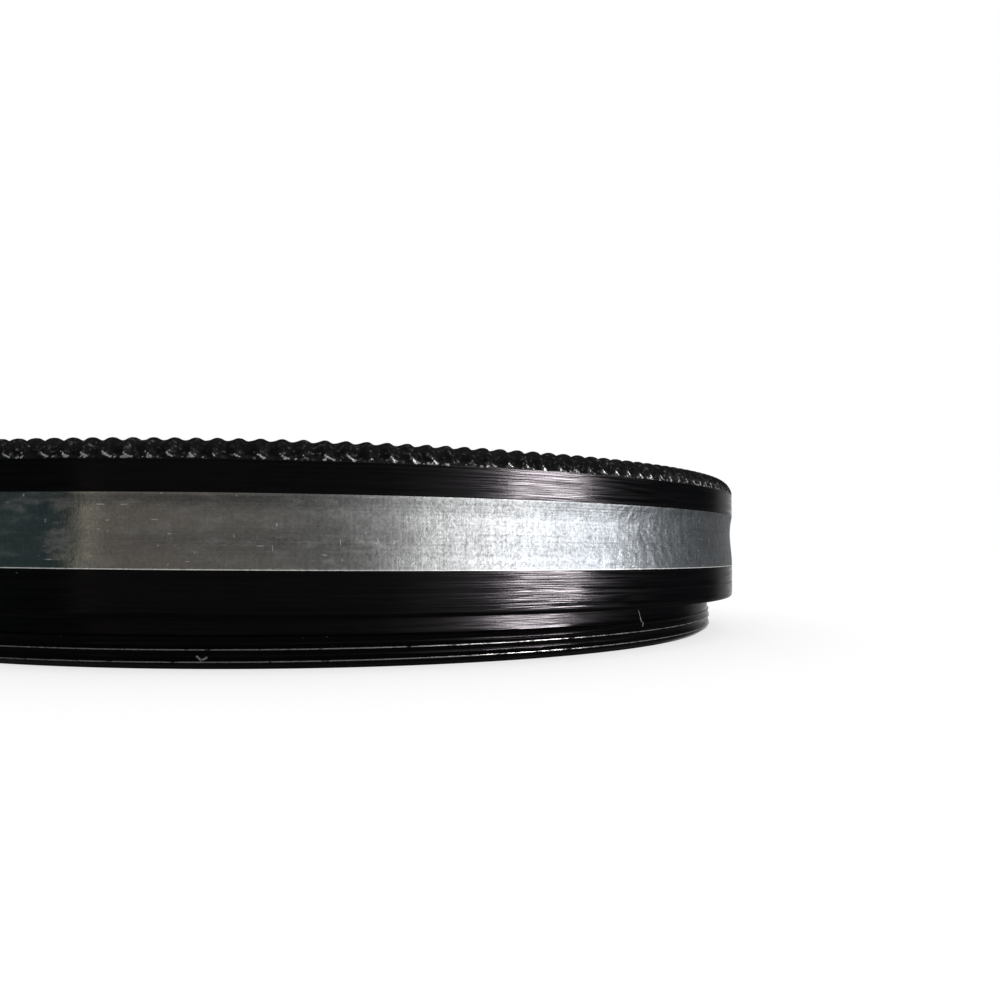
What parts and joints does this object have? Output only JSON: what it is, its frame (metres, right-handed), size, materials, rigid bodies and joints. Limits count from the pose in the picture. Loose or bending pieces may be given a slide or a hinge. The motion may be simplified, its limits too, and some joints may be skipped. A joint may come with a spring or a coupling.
{
  "type": "warming lens filter",
  "caption": "Round screw-in warming filter for a camera lens: knurled aluminium ring with a bare metal band, threaded skirt and amber glass.",
  "frame": {"origin": "on the optical axis, in the plane of the foot of the mounting skirt", "axes": "+Z along the optical axis, from the mounting skirt to the front rim; +X runs through one spanner slot of the retaining ring"},
  "size_m": [0.058, 0.058, 0.0095],
  "materials": {
    "ring_metal": "black anodised turned aluminium, satin, with one bare brushed band",
    "filter_glass": "polished amber optical glass, fine ground edge",
    "retainer_metal": "black anodised turned aluminium, matt"
  },
  "bodies": {
    "root": {"filter_ring": "ring_metal", "filter_glass": "filter_glass", "retaining_ring": "retainer_metal"}
  },
  "joints": []
}
